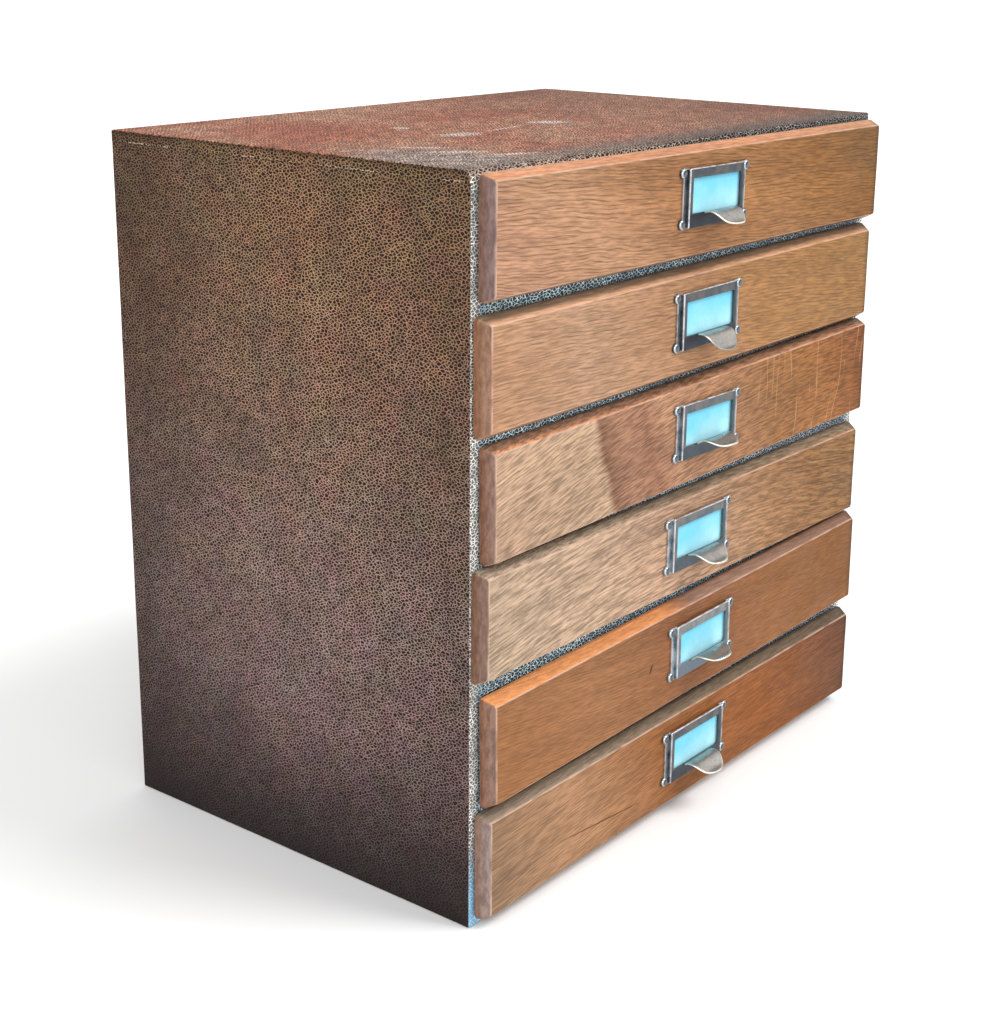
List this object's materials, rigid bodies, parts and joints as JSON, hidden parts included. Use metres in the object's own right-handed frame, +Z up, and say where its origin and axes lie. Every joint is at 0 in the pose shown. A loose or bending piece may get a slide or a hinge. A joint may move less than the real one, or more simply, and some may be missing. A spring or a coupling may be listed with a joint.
{
  "type": "drawer cabinet",
  "caption": "Desktop parts cabinet in a leathercloth-covered case, with shallow sliding drawers, bevelled oak fronts and metal card-holder pulls.",
  "frame": {"origin": "centre of the case's underside, on the surface the cabinet stands on", "axes": "+Z up; -Y out of the drawers' fronts, the way they open; +X to the right of a person who faces them"},
  "size_m": [0.377, 0.2763, 0.38],
  "materials": {
    "side_cloth": "dark brown crackled leathercloth, semi-gloss",
    "top_cloth": "reddish-brown crackled leathercloth, scuffed",
    "edge_cloth": "grey crackled leathercloth, worn",
    "case_wood": "unfinished, aged",
    "back_panel": "brown-stained panel, matt",
    "box_wood": "unfinished, sanded",
    "oak_front_1": "waxed oak, satin",
    "oak_front_2": "waxed oak, satin",
    "oak_front_3": "waxed oak, satin",
    "oak_front_4": "waxed oak, satin",
    "oak_front_5": "waxed oak, satin",
    "oak_front_6": "waxed oak, satin",
    "pull_metal": "aged nickel plate, satin",
    "card": "blue card"
  },
  "bodies": {
    "case": {"left_side": "case_wood", "right_side": "case_wood", "top_board": "case_wood", "bottom_board": "case_wood", "back_panel": "back_panel", "divider_1": "case_wood", "divider_2": "case_wood", "divider_3": "case_wood", "divider_4": "case_wood", "divider_5": "case_wood", "left_cover": "side_cloth", "right_cover": "side_cloth", "top_cover": "top_cloth", "divider_1_facing": "edge_cloth", "divider_2_facing": "edge_cloth", "divider_3_facing": "edge_cloth", "divider_4_facing": "edge_cloth", "divider_5_facing": "edge_cloth"},
    "drawer_1": {"drawer_1_front": "oak_front_1", "drawer_1_left_side": "box_wood", "drawer_1_right_side": "box_wood", "drawer_1_back": "box_wood", "drawer_1_bottom": "box_wood", "drawer_1_pull": "pull_metal", "drawer_1_card": "card"},
    "drawer_2": {"drawer_2_front": "oak_front_2", "drawer_2_left_side": "box_wood", "drawer_2_right_side": "box_wood", "drawer_2_back": "box_wood", "drawer_2_bottom": "box_wood", "drawer_2_pull": "pull_metal", "drawer_2_card": "card"},
    "drawer_3": {"drawer_3_front": "oak_front_3", "drawer_3_left_side": "box_wood", "drawer_3_right_side": "box_wood", "drawer_3_back": "box_wood", "drawer_3_bottom": "box_wood", "drawer_3_pull": "pull_metal", "drawer_3_card": "card"},
    "drawer_4": {"drawer_4_front": "oak_front_4", "drawer_4_left_side": "box_wood", "drawer_4_right_side": "box_wood", "drawer_4_back": "box_wood", "drawer_4_bottom": "box_wood", "drawer_4_pull": "pull_metal", "drawer_4_card": "card"},
    "drawer_5": {"drawer_5_front": "oak_front_5", "drawer_5_left_side": "box_wood", "drawer_5_right_side": "box_wood", "drawer_5_back": "box_wood", "drawer_5_bottom": "box_wood", "drawer_5_pull": "pull_metal", "drawer_5_card": "card"},
    "drawer_6": {"drawer_6_front": "oak_front_6", "drawer_6_left_side": "box_wood", "drawer_6_right_side": "box_wood", "drawer_6_back": "box_wood", "drawer_6_bottom": "box_wood", "drawer_6_pull": "pull_metal", "drawer_6_card": "card"}
  },
  "joints": [
    {"name": "drawer_1_slide", "type": "slide", "parent": "case", "child": "drawer_1", "axis": [0, -1, 0], "range_m": [0, 0.18]},
    {"name": "drawer_2_slide", "type": "slide", "parent": "case", "child": "drawer_2", "axis": [0, -1, 0], "range_m": [0, 0.18]},
    {"name": "drawer_3_slide", "type": "slide", "parent": "case", "child": "drawer_3", "axis": [0, -1, 0], "range_m": [0, 0.18]},
    {"name": "drawer_4_slide", "type": "slide", "parent": "case", "child": "drawer_4", "axis": [0, -1, 0], "range_m": [0, 0.18]},
    {"name": "drawer_5_slide", "type": "slide", "parent": "case", "child": "drawer_5", "axis": [0, -1, 0], "range_m": [0, 0.18]},
    {"name": "drawer_6_slide", "type": "slide", "parent": "case", "child": "drawer_6", "axis": [0, -1, 0], "range_m": [0, 0.18]}
  ]
}
